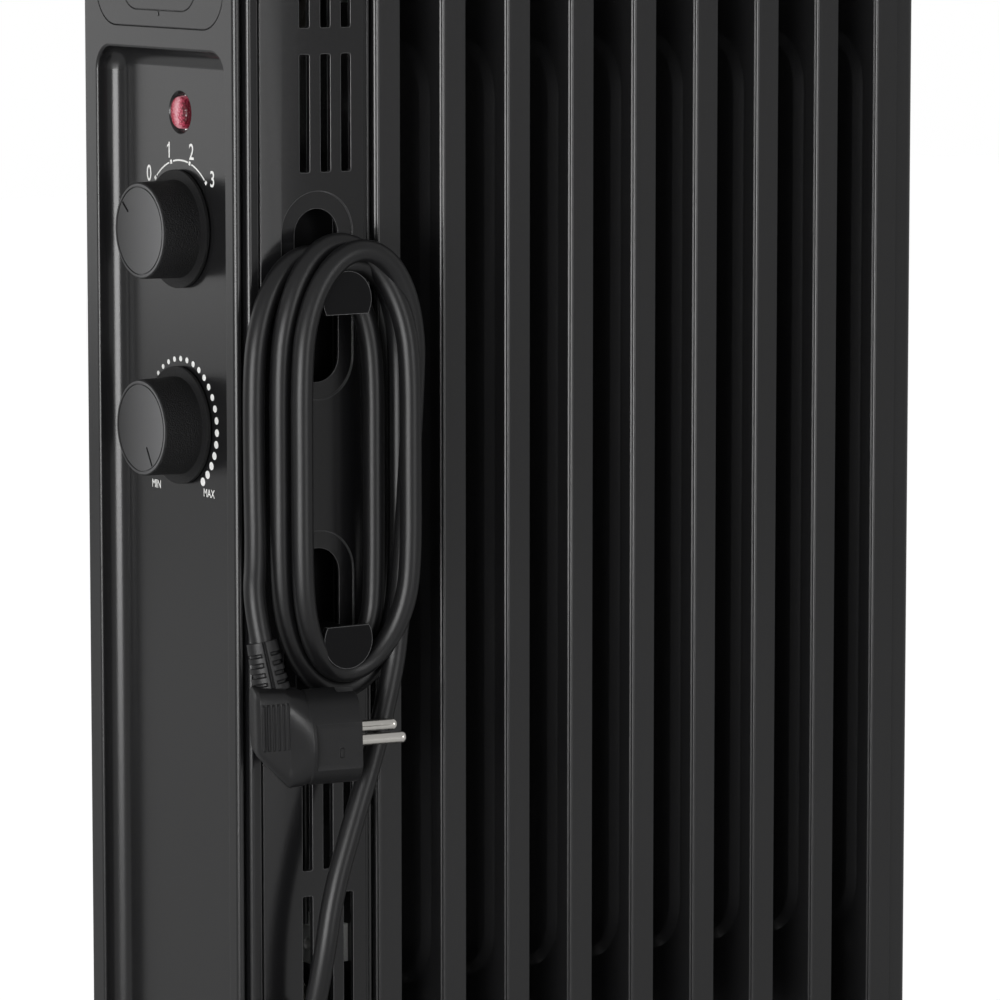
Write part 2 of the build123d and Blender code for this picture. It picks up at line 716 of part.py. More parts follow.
def corner_radii(route):
    """The largest arc that the two runs at each corner leave room for."""
    points = [Vector(*p) for p in route]
    radii = []
    for before, corner, after in zip(points, points[1:], points[2:]):
        turn = (corner - before).get_angle(after - corner)
        shorter = min((corner - before).length, (after - corner).length)
        radii.append(0.45 * shorter / tan(radians(turn / 2)))
    return radii


def make_cord(route):
    """A tube along straight runs joined by tangent arcs."""
    radii = corner_radii(route)
    print("cord corner radii", [round(r) for r in radii])
    with BuildPart() as cord:
        with BuildLine() as line:
            FilletPolyline(*route, radius=radii)
        with BuildSketch(Plane(origin=line.line @ 0, z_dir=line.line % 0)):
            Circle(cord_radius)
        sweep()
    length = line.wires()[0].length
    expected = pi * cord_radius**2 * length
    print("cord length", round(length, 1), "volume ratio", round(cord.part.volume / expected, 4))
    return cord


save(make_cord(tail_route), "cord_tail")
save(make_cord(lead_route), "cord_lead")

with BuildPart() as cord_coil:
    with BuildSketch(Plane.XZ.offset(body_half + 1.5)):
        with Locations(coil_centre):
            SlotOverall(coil_height, coil_width, rotation=90)
        with Locations((winder_x, middle_row)):
            SlotOverall(165.5, 24.5, rotation=90, mode=Mode.SUBTRACT)
        with Locations((-170, 288)):
            Rectangle(26, 40, mode=Mode.SUBTRACT)
    extrude(amount=hook_reach - 2)
    fillet(cord_coil.faces().sort_by(Axis.Y)[0].edges(), 4)
save(cord_coil, "cord_coil")

# ---- plug ----
plug_origin = Vector(-153.5, -89.5, 264.0)
plug_turn = 22.5            # how far the plug's axis turns from +X towards -Y
plug_rise = 0.04
plug_lean = 0.12            # roll about its own axis
plug_way = Vector(cos(radians(plug_turn)), -sin(radians(plug_turn)), plug_rise).normalized()
plug_up = Vector(-sin(radians(plug_turn)) * plug_lean, -cos(radians(plug_turn)) * plug_lean, 1)
plug_frame = Plane(origin=plug_origin, x_dir=plug_up, z_dir=plug_way)
face_radius = 18.6
pin_radius = 2.4
pin_length = 19.0
pin_spacing = 19.0
pin_root = 13.5             # buried, waisted length of a pin
pin_root_radius = 1.9
plug_front = 20.0

with BuildPart() as plug_body:
    rod(plug_frame.offset(9), face_radius, plug_front - 9)
    fillet(plug_body.edges().sort_by(SortBy.LENGTH)[-2:], 1.5)
    with BuildSketch(plug_frame.offset(-20)):
        with Locations((-1, 0)):
            RectangleRounded(30, 22, 8)
    with BuildSketch(plug_frame.offset(9)):
        Circle(16.5)
    loft()
    with BuildSketch(Plane(origin=relief_root, z_dir=relief_way)):
        Circle(8)
    extrude(amount=(relief_tip - relief_root).length, taper=3.5)
    with BuildSketch(plug_frame.offset(plug_front)):
        with GridLocations(0, pin_spacing, 1, 2):
            Circle(pin_root_radius)
    extrude(amount=-pin_root, mode=Mode.SUBTRACT)
    with BuildSketch(plug_frame.offset(plug_front)):
        with GridLocations(2 * face_radius, 0, 2, 1):
            Rectangle(5, 6.4)
    extrude(amount=-8, mode=Mode.SUBTRACT)
save(plug_body, "plug_body")

with BuildPart() as plug_pins:
    with BuildSketch(plug_frame.offset(plug_front)):
        with GridLocations(0, pin_spacing, 1, 2):
            Circle(pin_radius)
    extrude(amount=pin_length)
    with BuildSketch(plug_frame.offset(plug_front)):
        with GridLocations(0, pin_spacing, 1, 2):
            Circle(pin_root_radius)
    extrude(amount=-pin_root)
    tips = plug_pins.faces().filter_by(GeomType.PLANE).sort_by(Axis((0, 0, 0), tuple(plug_way)))[-2:]
    fillet(tips.edges(), 1.8)
save(plug_pins, "plug_pins")

with BuildPart() as plug_earth_clips:
    with BuildSketch(plug_frame.offset(plug_front - 1)):
        with GridLocations(2 * face_radius - 4, 0, 2, 1):
            Rectangle(0.8, 5.6)
    extrude(amount=-6.8)
save(plug_earth_clips, "plug_earth_clips")

# ---- feet ----
slope_inner_y = 46.0
slope_outer_y = 84.0
foot_top = fin_base_z


def foot_profile(drop):
    """Half of a foot strap seen along X, as points from its middle outwards."""
    return [
        (0, foot_top - drop),
        (slope_inner_y, foot_top - drop),
        (slope_outer_y, foot_plate_z + foot_sheet - drop),
        (foot_half, foot_plate_z + foot_sheet - drop),
    ]


foot_names = ("front", "rear")
gap_middles = (fin_xs[0] + web + bulge + collar_length / 2, fin_xs[-2] + web + bulge + collar_length / 2)
bolt_y = 26.5
for name, x, gap_x in zip(foot_names, foot_centres, gap_middles):
    upper = foot_profile(0)
    lower = foot_profile(foot_sheet)
    with BuildPart() as foot:
        with BuildSketch(Plane.YZ.offset(x - foot_width / 2)):
            with BuildLine():
                Polyline(*upper, *reversed(lower), close=True)
            make_face()
            mirror(about=Plane.YZ)
        extrude(amount=foot_width)
        for bend_y in (slope_inner_y, slope_outer_y):
            across = foot.edges().filter_by(Axis.X)
            fillet([e for e in across if abs(abs(e.center().Y) - bend_y) < 1], 1.8)
        ends = [e for e in foot.edges().filter_by(Axis.Z) if abs(e.center().Y) > foot_half - 1]
        fillet(ends, 12)
        with BuildSketch(Plane.XY.offset(foot_top)):
            with Locations((gap_x, 0)):
                with GridLocations(0, 2 * bolt_y, 1, 2):
                    Circle(3.3)
            with Locations((x, 0)):
                with GridLocations(0, 2 * castor_y, 1, 2):
                    Circle(5 + running_gap)
        extrude(amount=-40, mode=Mode.SUBTRACT)
    save(foot, f"foot_{name}")

with BuildPart() as foot_u_bolts:
    for gap_x in gap_middles:
        with BuildLine(Plane.YZ.offset(gap_x)) as loop:
            Line((-bolt_y, 78), (-bolt_y, manifold_z[0]))
            CenterArc((0, manifold_z[0]), bolt_y, 180, -180)
            Line((bolt_y, manifold_z[0]), (bolt_y, 78))
        with BuildSketch(Plane(origin=(gap_x, -bolt_y, 78), z_dir=(0, 0, 1))):
            Circle(3)
        sweep(path=loop.wires()[0])
save(foot_u_bolts, "foot_u_bolts")

with BuildPart() as wing_nuts:
    for gap_x in gap_middles:
        for y in (-bolt_y, bolt_y):
            seat = Plane((gap_x, y, foot_top - foot_sheet))
            with BuildSketch(seat):
                Circle(6)
            extrude(amount=-7)
            with BuildSketch(seat.offset(-2)):
                Rectangle(26, 2.4)
            extrude(amount=-9)
            rod(seat, 3.2, -12, Mode.SUBTRACT)
save(wing_nuts, "wing_nuts")

# ---- castors ----
fork_top = foot_plate_z - 0.4
fork_gap = wheel_width / 2 + 1.2
side_plate = 2.4


def make_fork(x, y):
    """A castor's swivelling fork with its stem, axle and retaining washer."""
    axle_x = x + castor_trail
    with BuildPart() as fork:
        crown = Plane((x, y, fork_top))
        rod(crown, 13, -6)
        rod(crown, 5, 8)
        rod(Plane((x, y, foot_plate_z + foot_sheet + 0.4)), 8, 2.2)
        cheek_height = fork_top - 6 - wheel_radius
        with BuildSketch(Plane.XZ.offset(-y + fork_gap + side_plate)):
            with BuildLine():
                Polyline(
                    (x - 12, fork_top - 4),
                    (x + 20, fork_top - 4),
                    (axle_x + 7, wheel_radius),
                    (axle_x - 7, wheel_radius),
                    (x - 12, fork_top - 12),
                    close=True,
                )
            make_face()
            with Locations((axle_x, wheel_radius)):
                Circle(7)
        extrude(amount=-2 * (fork_gap + side_plate))
        with BuildSketch(Plane.XZ.offset(-y + fork_gap)):
            with Locations((axle_x, wheel_radius)):
                Circle(wheel_radius + 2)
            with Locations((axle_x, wheel_radius - 15)):
                Rectangle(80, 30)
        extrude(amount=-2 * fork_gap, mode=Mode.SUBTRACT)
        with BuildSketch(Plane.XZ.offset(-y + fork_gap + side_plate)):
            with Locations((axle_x, wheel_radius)):
                Circle(axle_radius)
        extrude(amount=-2 * (fork_gap + side_plate))
    return fork


def make_wheel(x, y):
    """A castor wheel: a tyre with rounded shoulders on a dished hub, bored for its axle."""
    axle_x = x + castor_trail
    face = Plane(origin=(axle_x, y + wheel_width / 2, wheel_radius), x_dir=(1, 0, 0), z_dir=(0, -1, 0))
    with BuildPart() as wheel:
        rod(face, wheel_radius, wheel_width)
        fillet(wheel.edges(), 3)
        for side, plane in ((-1, face), (1, face.offset(wheel_width))):
            with BuildSketch(plane):
                Circle(wheel_radius - 6)
                Circle(7, mode=Mode.SUBTRACT)
            extrude(amount=-side * 4, mode=Mode.SUBTRACT)
        rod(face, axle_radius + running_gap, wheel_width, Mode.SUBTRACT)
    return wheel


castor_places = [(x, y) for x in foot_centres for y in (-castor_y, castor_y)]
for number, (x, y) in enumerate(castor_places, start=1):
    save(make_fork(x, y), f"castor_fork_{number}")
    save(make_wheel(x, y), f"castor_wheel_{number}")
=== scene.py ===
import json
import math

import bmesh
import bpy
from mathutils import Matrix, Vector


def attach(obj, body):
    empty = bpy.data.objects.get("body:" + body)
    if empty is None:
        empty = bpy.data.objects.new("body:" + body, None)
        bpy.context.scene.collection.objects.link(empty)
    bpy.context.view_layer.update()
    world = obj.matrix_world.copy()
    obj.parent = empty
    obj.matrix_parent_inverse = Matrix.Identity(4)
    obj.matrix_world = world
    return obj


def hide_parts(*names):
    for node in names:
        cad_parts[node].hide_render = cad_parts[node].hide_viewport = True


# The visual model of the oil filled radiator heater. Metres, in the CAD frame:
# +Z up, the control panel faces -X, and the cord winder is on the -Y side.

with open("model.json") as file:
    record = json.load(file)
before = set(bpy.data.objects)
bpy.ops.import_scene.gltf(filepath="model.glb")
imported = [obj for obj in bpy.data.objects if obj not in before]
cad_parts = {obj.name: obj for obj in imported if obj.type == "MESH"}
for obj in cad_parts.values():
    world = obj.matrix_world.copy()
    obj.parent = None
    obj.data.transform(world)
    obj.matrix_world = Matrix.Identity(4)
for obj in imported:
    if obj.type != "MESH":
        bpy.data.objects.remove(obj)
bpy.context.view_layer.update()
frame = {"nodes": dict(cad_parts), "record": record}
nodes = frame["nodes"]
scene = bpy.context.scene
MM = 0.001

# ---------------------------------------------------------------- camera
camera_data = bpy.data.cameras.new("camera")
camera_data.lens = 201.3
camera_data.sensor_width = 36.0
camera = bpy.data.objects.new("camera", camera_data)
scene.collection.objects.link(camera)
camera.location = (-1.3554, -1.9773, 0.6385)
looking = Vector((0.56192, 0.81796, -0.12325))
camera.rotation_euler = looking.to_track_quat("-Z", "Y").to_euler()
scene.camera = camera

# ---------------------------------------------------------------- mains cord
CORD_RADIUS = 4.5 * MM
GLAND = Vector((-147.5, -71.5, 112.0)) * MM
BOOT_WAY = Vector((0.1, -0.2, 0.97)).normalized()
CORD_EXIT = GLAND + BOOT_WAY * 36 * MM
RELIEF_ROOT = Vector((-164.6, -84.9, 272.0)) * MM
RELIEF_TIP = Vector((-168.6, -79.5, 303.0)) * MM
RELIEF_WAY = (RELIEF_TIP - RELIEF_ROOT).normalized()

tail_route = [
    CORD_EXIT,
    GLAND + BOOT_WAY * 57 * MM,
    Vector((-137.0, -83.0, 196.0)) * MM,
    Vector((-127.5, -83.0, 224.0)) * MM,
    Vector((-117.5, -82.5, 250.0)) * MM,
    Vector((-109.7, -82.0, 275.0)) * MM,
    Vector((-102.8, -80.5, 300.0)) * MM,
]
lead_route = [
    Vector((-167.6, -74.0, 337.0)) * MM,
    RELIEF_TIP + RELIEF_WAY * 17 * MM,
    RELIEF_TIP,
]

# Each half turn runs from one upright strand to the next, over the upper hook or under the lower one.
# A strand is its (x, y) at mid height, a bend is the (z, y) of its middle, both in millimetres.
COIL_MIDDLE = 372.0         # mid height of the coil
strands = [
    (-93.4, -79.0),
    (-152.4, -85.2),
    (-100.4, -86.0),
    (-157.0, -76.2),
    (-95.6, -70.0),
    (-147.8, -76.4),
    (-108.6, -71.0),
    (-165.8, -70.0),
]
bends = [
    (460.8, -84.6),
    (286.2, -77.4),
    (463.2, -75.6),
    (278.6, -72.6),
    (454.8, -76.6),
    (286.2, -68.2),
    (458.0, -67.4),
]
ARCH_POINTS = 8             # steps of each arch
ARCH_PER_WIDTH = 1.7        # an arch is this many half widths tall
ARCH_PER_RISE = 0.75        # and at most this share of its rise above mid height


def half_turn(start, end, bend):
    """Points of half a turn of the winding: up one strand, over an arch and back to mid height."""
    middle_x = (start[0] + end[0]) / 2
    half_width = (start[0] - end[0]) / 2
    rise = bend[0] - COIL_MIDDLE
    arch = math.copysign(min(ARCH_PER_WIDTH * abs(half_width), ARCH_PER_RISE * abs(rise)), rise)
    points = [Vector((*start, COIL_MIDDLE)) * MM]
    for step in range(ARCH_POINTS + 1):
        along = step / ARCH_POINTS
        angle = math.pi * along
        up = math.sin(angle) if 0 < step < ARCH_POINTS else 0.0
        side_y = start[1] + (end[1] - start[1]) * along
        weight = math.sin(angle) ** 2
        y = side_y * (1 - weight) + bend[1] * weight
        z = COIL_MIDDLE + rise - arch * (1 - up)
        points.append(Vector((middle_x + half_width * math.cos(angle), y, z)) * MM)
    return points


coil_points = []
for number, bend in enumerate(bends):
    coil_points += half_turn(strands[number], strands[number + 1], bend)
coil_points.append(Vector((*strands[-1], COIL_MIDDLE)) * MM)

cord_points = tail_route + coil_points[1:] + lead_route

POINT_RADIUS = 0.005        # of each control point: it keeps the curve's own bounds close to its surface
BEVEL_STEPS = 10
LINE_STEPS = 16


def smooth_curve(name, points, radius):
    """A round cable along one open NURBS spline with these control points."""
    data = bpy.data.curves.new(name, "CURVE")
    data.dimensions = "3D"
    data.bevel_depth = radius / POINT_RADIUS
    data.bevel_resolution = BEVEL_STEPS
    data.resolution_u = LINE_STEPS
    data.use_fill_caps = True
    spline = data.splines.new("NURBS")
    spline.points.add(len(points) - 1)
    for place, point in zip(spline.points, points):
        place.co = (*point, 1.0)
        place.radius = POINT_RADIUS
    spline.order_u = 3
    spline.use_endpoint_u = True
    curve = bpy.data.objects.new(name, data)
    scene.collection.objects.link(curve)
    return curve


def centreline(curve):
    """The points of a curve object's own line."""
    copy = curve.copy()
    copy.data = curve.data.copy()
    copy.data.bevel_depth = 0
    scene.collection.objects.link(copy)
    graph = bpy.context.evaluated_depsgraph_get()
    mesh = bpy.data.meshes.new_from_object(copy.evaluated_get(graph))
    points = [v.co.copy() for v in mesh.vertices]
    bpy.data.objects.remove(copy)
    return points


cord = smooth_curve("mains_cord", cord_points, CORD_RADIUS)
line = centreline(cord)
cord_length = sum((b - a).length for a, b in zip(line, line[1:]))
print("cord length", round(cord_length, 4), "points", len(cord_points))
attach(cord, "heater")
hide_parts("cord_tail", "cord_coil", "cord_lead")

# ---------------------------------------------------------------- materials
scene.view_settings.view_transform = "Standard"


def material(name, colour, roughness, metallic=0.0):
    """A new material and its shader, with the values that are the same all over."""
    made = bpy.data.materials.new(name)
    made.use_nodes = True
    bsdf = made.node_tree.nodes["Principled BSDF"]
    bsdf.inputs["Base Color"].default_value = (*colour, 1)
    bsdf.inputs["Roughness"].default_value = roughness
    bsdf.inputs["Metallic"].default_value = metallic
    return made, bsdf


def add(tree, kind, **settings):
    """A new node with some of its settings and inputs given."""
    node = tree.nodes.new(kind)
    for key, value in settings.items():
        if hasattr(node, key):
            setattr(node, key, value)
        else:
            node.inputs[key.replace("_", " ").title()].default_value = value
    return node


BROAD_SHARE = 60            # the broad noise is this many times coarser than the fine one
GRAIN_HEIGHT = 0.0002       # metres


def speckle(made, bsdf, colour, scale, contrast, bump, roughness, swing, edge):
    """Fine grain in object space: some colour and roughness variation, a bump and softened edges.

    edge is the radius in millimetres that sharp edges are shaded with, 0 for none.
    """
    tree = made.node_tree
    link = tree.links.new
    place = add(tree, "ShaderNodeTexCoord")
    fine = add(tree, "ShaderNodeTexNoise", scale=scale, detail=3.0, roughness=0.6)
    broad = add(tree, "ShaderNodeTexNoise", scale=scale / BROAD_SHARE, detail=3.0, roughness=0.5)
    link(place.outputs["Object"], fine.inputs["Vector"])
    link(place.outputs["Object"], broad.inputs["Vector"])
    tint = add(tree, "ShaderNodeValToRGB")
    tint.color_ramp.elements[0].position = 0.3
    tint.color_ramp.elements[1].position = 0.7
    tint.color_ramp.elements[0].color = (*[c * (1 - contrast) for c in colour], 1)
    tint.color_ramp.elements[1].color = (*[c * (1 + contrast) for c in colour], 1)
    link(broad.outputs["Fac"], tint.inputs["Fac"])
    link(tint.outputs["Color"], bsdf.inputs["Base Color"])
    gloss = add(tree, "ShaderNodeMapRange")
    gloss.inputs["From Min"].default_value = 0.25
    gloss.inputs["From Max"].default_value = 0.75
    gloss.inputs["To Min"].default_value = roughness - swing
    gloss.inputs["To Max"].default_value = roughness + swing
    link(fine.outputs["Fac"], gloss.inputs["Value"])
    link(gloss.outputs["Result"], bsdf.inputs["Roughness"])
    relief = add(tree, "ShaderNodeBump")
    relief.inputs["Strength"].default_value = bump
    relief.inputs["Distance"].default_value = GRAIN_HEIGHT
    link(fine.outputs["Fac"], relief.inputs["Height"])
    if edge:
        soft = add(tree, "ShaderNodeBevel", samples=4)
        soft.inputs["Radius"].default_value = edge * MM
        link(soft.outputs["Normal"], relief.inputs["Normal"])
    link(relief.outputs["Normal"], bsdf.inputs["Normal"])


def grained(
    name, colour, roughness, scale=1500, contrast=0.06, bump=0.12, swing=0.05, metallic=0.0, edge=0.0
):
    """A material with the grain above."""
    made, bsdf = material(name, colour, roughness, metallic)
    speckle(made, bsdf, colour, scale, contrast, bump, roughness, swing, edge)
    return made


def mixed(tree, share, low, high):
    """A value that runs from low to high with a share of 0 to 1. low and high are sockets or numbers."""
    mix = add(tree, "ShaderNodeMix", data_type="FLOAT")
    tree.links.new(share, mix.inputs[0])
    for socket, value in ((mix.inputs[2], low), (mix.inputs[3], high)):
        if isinstance(value, float):
            socket.default_value = value
        else:
            tree.links.new(value, socket)
    return mix.outputs[0]


KNOB_BLACK = (0.008, 0.008, 0.0085)
# the pale grey end of the painted sheen on the knob's face
KNOB_SHEEN_GREY = (0.11, 0.11, 0.113)
FACE_NORMAL = -0.93         # the knob's face is where the surface faces -X at least this squarely
FACE_X = -0.170             # and is further forward than this, in metres
SHEEN_PALE_Y = -0.020          # painted sheen: the knob's face pales along Y from the dark value below to this pale one, in metres
SHEEN_DARK_Y = 0.016
SIDE_GRAIN = 0.9            # strength of the bump round the side and on the face
FACE_GRAIN = 0.01
KNOB_GRAIN_HEIGHT = 0.0007


def knob_finish_with_painted_sheen():
    """Moulded knob plastic: dark coarse grain round the side, and a painted sheen that pales the smooth
    face to one side.
    """
    made, bsdf = material("knob_plastic", KNOB_BLACK, 0.5)
    speckle(made, bsdf, KNOB_BLACK, 1500, 0.1, SIDE_GRAIN, 0.55, 0.1, 0.3)
    tree = made.node_tree
    link = tree.links.new
    place = add(tree, "ShaderNodeTexCoord")
    facing = add(tree, "ShaderNodeSeparateXYZ")
    link(place.outputs["Normal"], facing.inputs["Vector"])
    spot = add(tree, "ShaderNodeSeparateXYZ")
    link(place.outputs["Object"], spot.inputs["Vector"])
    flat = add(tree, "ShaderNodeMath", operation="LESS_THAN")
    link(facing.outputs["X"], flat.inputs[0])
    flat.inputs[1].default_value = FACE_NORMAL
    front = add(tree, "ShaderNodeMath", operation="LESS_THAN")
    link(spot.outputs["X"], front.inputs[0])
    front.inputs[1].default_value = FACE_X
    on_face = add(tree, "ShaderNodeMath", operation="MULTIPLY")
    link(flat.outputs["Value"], on_face.inputs[0])
    link(front.outputs["Value"], on_face.inputs[1])
    face = on_face.outputs["Value"]
    # painted sheen: the face's colour runs from black to pale grey along Y
    across = add(tree, "ShaderNodeMapRange")
    across.inputs["From Min"].default_value = SHEEN_DARK_Y
    across.inputs["From Max"].default_value = SHEEN_PALE_Y
    link(spot.outputs["Y"], across.inputs["Value"])
    ramp = add(tree, "ShaderNodeValToRGB")
    ramp.color_ramp.elements[0].color = (*KNOB_BLACK, 1)
    ramp.color_ramp.elements[1].color = (*KNOB_SHEEN_GREY, 1)
    link(across.outputs["Result"], ramp.inputs["Fac"])
    painted_light_mix = add(tree, "ShaderNodeMixRGB")
    link(face, painted_light_mix.inputs["Fac"])
    link(bsdf.inputs["Base Color"].links[0].from_socket, painted_light_mix.inputs["Color1"])
    link(ramp.outputs["Color"], painted_light_mix.inputs["Color2"])
    link(painted_light_mix.outputs["Color"], bsdf.inputs["Base Color"])
    side_roughness = bsdf.inputs["Roughness"].links[0].from_socket
    link(mixed(tree, face, side_roughness, 0.32), bsdf.inputs["Roughness"])
    bsdf.inputs["Specular IOR Level"].default_value = 0.30
    relief = bsdf.inputs["Normal"].links[0].from_node
    relief.inputs["Distance"].default_value = KNOB_GRAIN_HEIGHT
    link(mixed(tree, face, SIDE_GRAIN, FACE_GRAIN), relief.inputs["Strength"])
    return made


DIAL_Y = -1.5               # the knobs and the lamp are in one column
LAMP = (-158.0, DIAL_Y, 513.0)
LENS_HALF = 7               # the lens's colours, painted highlight band included, run this far to both sides of its middle
PRISM_SCALE = 1100.0
PRISM_JITTER = 0.25
# Along Y, from its far side to the near one: the share of the way, and the colour. The pale stop is a
# painted highlight band, and the colour darkens towards both sides.
LENS_HIGHLIGHT_STOPS = (
    (0.16, (0.10, 0.004, 0.010)),
    (0.40, (0.40, 0.02, 0.05)),
    (0.66, (0.62, 0.28, 0.32)),
    (0.82, (0.42, 0.05, 0.09)),
    (1.0, (0.08, 0.004, 0.010)),
)


def lens_finish_with_painted_highlight():
    """Red plastic moulded in small prisms, with a painted pale upright highlight band and a faint glow."""
    made, bsdf = material("lens_red", (0.5, 0.02, 0.05), 0.15)
    bsdf.inputs["Emission Strength"].default_value = 0.12
    tree = made.node_tree
    link = tree.links.new
    place = add(tree, "ShaderNodeTexCoord")
    prisms = add(tree, "ShaderNodeTexVoronoi", scale=PRISM_SCALE)
    link(place.outputs["Object"], prisms.inputs["Vector"])
    spot = add(tree, "ShaderNodeSeparateXYZ")
    link(place.outputs["Object"], spot.inputs["Vector"])
    across = add(tree, "ShaderNodeMapRange")
    across.inputs["From Min"].default_value = (LAMP[1] + LENS_HALF) * MM
    across.inputs["From Max"].default_value = (LAMP[1] - LENS_HALF) * MM
    link(spot.outputs["Y"], across.inputs["Value"])
    jitter = add(tree, "ShaderNodeMath", operation="MULTIPLY_ADD")
    link(prisms.outputs["Distance"], jitter.inputs[0])
    jitter.inputs[1].default_value = PRISM_JITTER
    link(across.outputs["Result"], jitter.inputs[2])
    ramp = add(tree, "ShaderNodeValToRGB")
    while len(ramp.color_ramp.elements) < len(LENS_HIGHLIGHT_STOPS):
        ramp.color_ramp.elements.new(0.5)
    for element, (where, colour) in zip(ramp.color_ramp.elements, LENS_HIGHLIGHT_STOPS):
        element.position = where
        element.color = (*colour, 1)
    link(jitter.outputs["Value"], ramp.inputs["Fac"])
    link(ramp.outputs["Color"], bsdf.inputs["Base Color"])
    # the glow takes the same colours, so the painted highlight band glows as well
    link(ramp.outputs["Color"], bsdf.inputs["Emission Color"])
    relief = add(tree, "ShaderNodeBump")
    relief.inputs["Strength"].default_value = 0.5
    relief.inputs["Distance"].default_value = 0.0004
    link(prisms.outputs["Distance"], relief.inputs["Height"])
    link(relief.outputs["Normal"], bsdf.inputs["Normal"])
    return made


looks = {
    "black_coat": grained(
        "black_coat", (0.012, 0.012, 0.0125), 0.20, scale=700, bump=0.03, swing=0.03, edge=0.5
    ),
    "cover_coat": grained(
        "cover_coat", (0.007, 0.007, 0.0075), 0.16, scale=500, bump=0.015, swing=0.02, edge=0.5
    ),
    "black_plastic": grained(
        "black_plastic", (0.010, 0.010, 0.0105), 0.22, scale=900, bump=0.02, swing=0.03, edge=0.5
    ),
    "knob_plastic": knob_finish_with_painted_sheen(),
    "cord_sheath": grained("cord_sheath", (0.007, 0.007, 0.0075), 0.36, scale=1500, bump=0.06),
    "white_plastic": grained("white_plastic", (0.85, 0.85, 0.83), 0.40, scale=1200),
    "zinc": grained("zinc", (0.60, 0.60, 0.62), 0.32, scale=900, metallic=1.0),
    "nickel_brass": grained("nickel_brass", (0.70, 0.68, 0.64), 0.20, scale=1400, bump=0.05, metallic=1.0),
    "heater_steel": grained("heater_steel", (0.35, 0.33, 0.31), 0.38, scale=900, metallic=1.0),
    "tyre_plastic": grained("tyre_plastic", (0.014, 0.014, 0.0145), 0.45, scale=900, bump=0.15),
    "lens_red": lens_finish_with_painted_highlight(),
}
slot_of = {part["node"]: part["material_slot"] for part in frame["record"]["subparts"]}


def wear(obj, made):
    """Give an object one material on all its slots."""
    if not obj.material_slots:
        obj.data.materials.append(made)
    for slot in obj.material_slots:
        slot.material = made


for name, node in nodes.items():
    wear(node, looks[slot_of[name]])
wear(cord, looks["cord_sheath"])


def dull(made, specular):
    """Weaken a material's reflections; 0.5 is the usual specular level."""
    made.node_tree.nodes["Principled BSDF"].inputs["Specular IOR Level"].default_value = specular


def paint_edge_highlights(made, radius, colour, reach):
    """Give sharp edges a painted highlight, a thin paler line, from how far a rounded normal leaves the
    true one.

    radius is in millimetres; the line is at its palest where the two normals' product is 1 - reach.
    """
    tree = made.node_tree
    link = tree.links.new
    bsdf = tree.nodes["Principled BSDF"]
    shape = add(tree, "ShaderNodeNewGeometry")
    soft = add(tree, "ShaderNodeBevel", samples=8)
    soft.inputs["Radius"].default_value = radius * MM
    agree = add(tree, "ShaderNodeVectorMath", operation="DOT_PRODUCT")
    link(shape.outputs["True Normal"], agree.inputs[0])
    link(soft.outputs["Normal"], agree.inputs[1])
    line = add(tree, "ShaderNodeMapRange")
    line.inputs["From Min"].default_value = 1.0
    line.inputs["From Max"].default_value = 1.0 - reach
    link(agree.outputs["Value"], line.inputs["Value"])
    # mix the painted highlight colour into the base colour along the edges
    painted_light_mix = add(tree, "ShaderNodeMixRGB")
    painted_light_mix.inputs["Color2"].default_value = (*colour, 1)
    link(line.outputs["Result"], painted_light_mix.inputs["Fac"])
    link(bsdf.inputs["Base Color"].links[0].from_socket, painted_light_mix.inputs["Color1"])
    link(painted_light_mix.outputs["Color"], bsdf.inputs["Base Color"])


winder_look = grained("winder_plastic", (0.004, 0.004, 0.0045), 0.5, scale=900, bump=0.05)
dull(winder_look, 0.09)
# Painted highlights: paler lines along the sharp edges of the cord winder and of the side covers.
paint_edge_highlights(winder_look, 0.6, (0.16, 0.16, 0.163), 0.25)
paint_edge_highlights(looks["cover_coat"], 0.45, (0.13, 0.13, 0.132), 0.14)
wear(nodes["cord_winder"], winder_look)
dull(looks["cord_sheath"], 0.36)
dull(looks["black_plastic"], 0.46)

# ---------------------------------------------------------------- printed dial marks
MARK_X = -158.08            # just proud of the recess floor
POWER_Z = 465.0
THERMOSTAT_Z = 383.5
ARC_RADIUS = 28.3           # of the power knob's arc
ARC_WIDTH = 0.7
ARC_STEP = 2                # degrees
TICK_WIDTH = 1.7
TICK_HALF = 1.5             # degrees
DOTS = 28
DOT_RADIUS = 27.5           # of the thermostat's circle of dots
DOT_SIDES = 14
DOT_START = -137            # degrees, and the dots run on for DOT_SPAN
DOT_SPAN = 281
DOT_SMALLEST = 0.62
DOT_GROWTH = 1.18
FIGURE_RADIUS = 33.0
FIGURE_HEIGHT = 6.8
FIGURE_WEIGHT = 0.09        # how far each outline is thickened
WORD_RADIUS = 34.0
WORD_HEIGHT = 3.5
WORD_WEIGHT = 0.04
WORD_ANGLE = 142
MARK_NARROW = 0.85          # letters are this share of their usual width
SIZE_PER_HEIGHT = 1.38      # the font's size over the height asked for
MARK_DEPTH = 0.02
ONE_FLAG = ((0.2, 3.25), (0.2, 2.35), (1.65, 1.35), (1.65, 2.15))      # left and up of the middle of the 1
ONE_ANGLE = -15.5


def on_dial(radius, angle, middle_z):
    """A point on the recess floor, angle clockwise from straight up as seen from the front."""
    turn = math.radians(angle)
    return Vector((MARK_X, DIAL_Y - radius * math.sin(turn), middle_z + radius * math.cos(turn))) * MM


